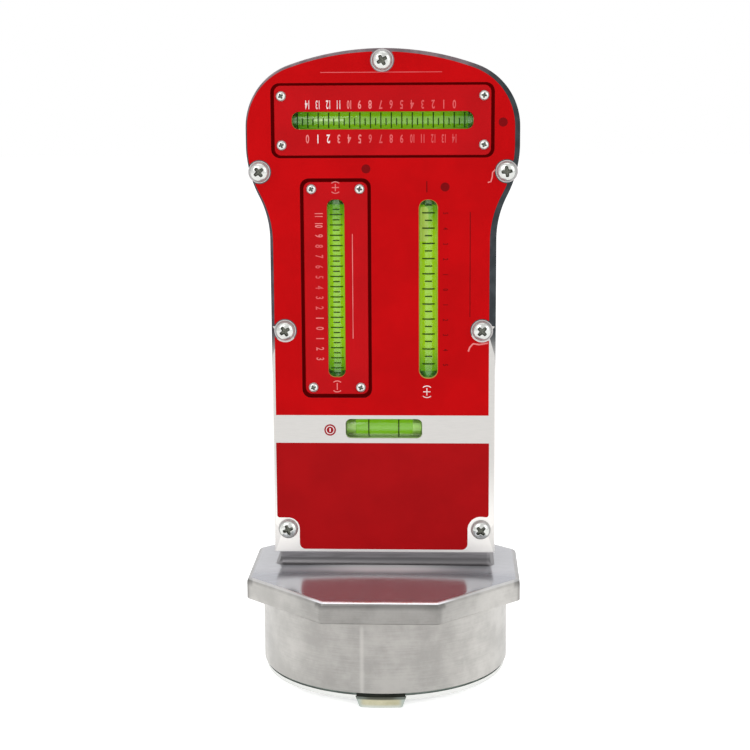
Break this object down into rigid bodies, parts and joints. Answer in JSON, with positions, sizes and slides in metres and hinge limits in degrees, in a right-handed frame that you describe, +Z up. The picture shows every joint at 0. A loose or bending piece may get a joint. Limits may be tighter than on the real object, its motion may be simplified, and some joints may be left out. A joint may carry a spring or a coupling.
{
  "type": "camber caster gauge",
  "caption": "Wheel-alignment gauge: face panel with spirit vials on a paddle-shaped casting over an octagonal flange and a round magnetic base.",
  "frame": {"origin": "centre of the rest plane under the three base feet, on the axis of the cup and flange", "axes": "+Z up along the face plate, -Y out of the face panel towards the reader, +X to the reader's right"},
  "size_m": [0.09, 0.09, 0.2086],
  "materials": {
    "cast_aluminium": "satin brushed casting",
    "panel_sheet": "brushed sheet, red print",
    "cover_sheet": "satin red print with white figures",
    "holder_bar": "extruded, as machined",
    "zinc_screw": "bright zinc plated",
    "dark_screw": "oiled steel",
    "pin_steel": "ground steel",
    "knob_steel": "bright nickel, knurled",
    "nut_brass": "turned",
    "spring_steel": "spring wire",
    "vial_acrylic": "clear tube round yellow-green liquid",
    "vial_plug": "moulded",
    "pot_steel": "ground and nickel plated",
    "magnet_ferrite": "sintered",
    "resin": "cast"
  },
  "bodies": {
    "housing": {"body_casting": "cast_aluminium", "face_panel": "panel_sheet", "panel_screws": "zinc_screw", "camber_holder": "holder_bar", "camber_vial": "vial_acrylic", "camber_vial_plugs": "vial_plug", "camber_screws": "dark_screw", "level_holder": "holder_bar", "level_vial": "vial_acrylic", "level_vial_plugs": "vial_plug", "level_screws": "dark_screw", "magnet_pot": "pot_steel", "magnet_ring": "magnet_ferrite", "magnet_filler": "resin", "centre_pole": "pot_steel", "pot_screws": "dark_screw", "centre_spring": "spring_steel", "caster_pivot_pin": "pin_steel", "caster_washer": "dark_screw", "caster_spring": "spring_steel", "kpi_pivot_pin": "pin_steel", "kpi_washer": "dark_screw", "kpi_spring": "spring_steel"},
    "caster_carrier": {"caster_cover": "cover_sheet", "caster_cover_screws": "zinc_screw", "caster_holder": "holder_bar", "caster_vial": "vial_acrylic", "caster_vial_plugs": "vial_plug", "caster_nut": "nut_brass"},
    "caster_knob": {"caster_adjuster": "knob_steel", "caster_clip": "dark_screw"},
    "kpi_carrier": {"kpi_cover": "cover_sheet", "kpi_cover_screws": "zinc_screw", "kpi_holder": "holder_bar", "kpi_vial": "vial_acrylic", "kpi_vial_plugs": "vial_plug", "kpi_nut": "nut_brass"},
    "kpi_knob": {"kpi_adjuster": "knob_steel", "kpi_clip": "dark_screw"},
    "centring_pin": {"centre_pin": "pin_steel"}
  },
  "joints": [
    {"name": "caster_tilt", "type": "hinge", "parent": "housing", "child": "caster_carrier", "pos_m": [-0.0154, 0.0112, 0.159], "axis": [1, 0, 0], "range_deg": [-2.5, 2.5], "deforming": ["caster_spring"]},
    {"name": "caster_knob_turn", "type": "hinge", "parent": "housing", "child": "caster_knob", "pos_m": [-0.0154, 0.021, 0.104], "axis": [0, 1, 0], "range_deg": [-1224, 1224]},
    {"name": "kpi_tilt", "type": "hinge", "parent": "housing", "child": "kpi_carrier", "pos_m": [-0.028, 0.0112, 0.1857], "axis": [0, 0, 1], "range_deg": [-2.5, 2.5], "deforming": ["kpi_spring"]},
    {"name": "kpi_knob_turn", "type": "hinge", "parent": "housing", "child": "kpi_knob", "pos_m": [0.027, 0.021, 0.1857], "axis": [0, 1, 0], "range_deg": [-1224, 1224]},
    {"name": "centring_pin_slide", "type": "slide", "parent": "housing", "child": "centring_pin", "axis": [0, 0, -1], "range_m": [0, 0.007], "stiffness_N_per_m": 150, "springref_m": 0.012, "deforming": ["centre_spring"]}
  ],
  "couplings": [
    {"joint": "caster_tilt", "follows": "caster_knob_turn", "ratio": -0.0020256},
    {"joint": "kpi_tilt", "follows": "kpi_knob_turn", "ratio": -0.0020256}
  ]
}
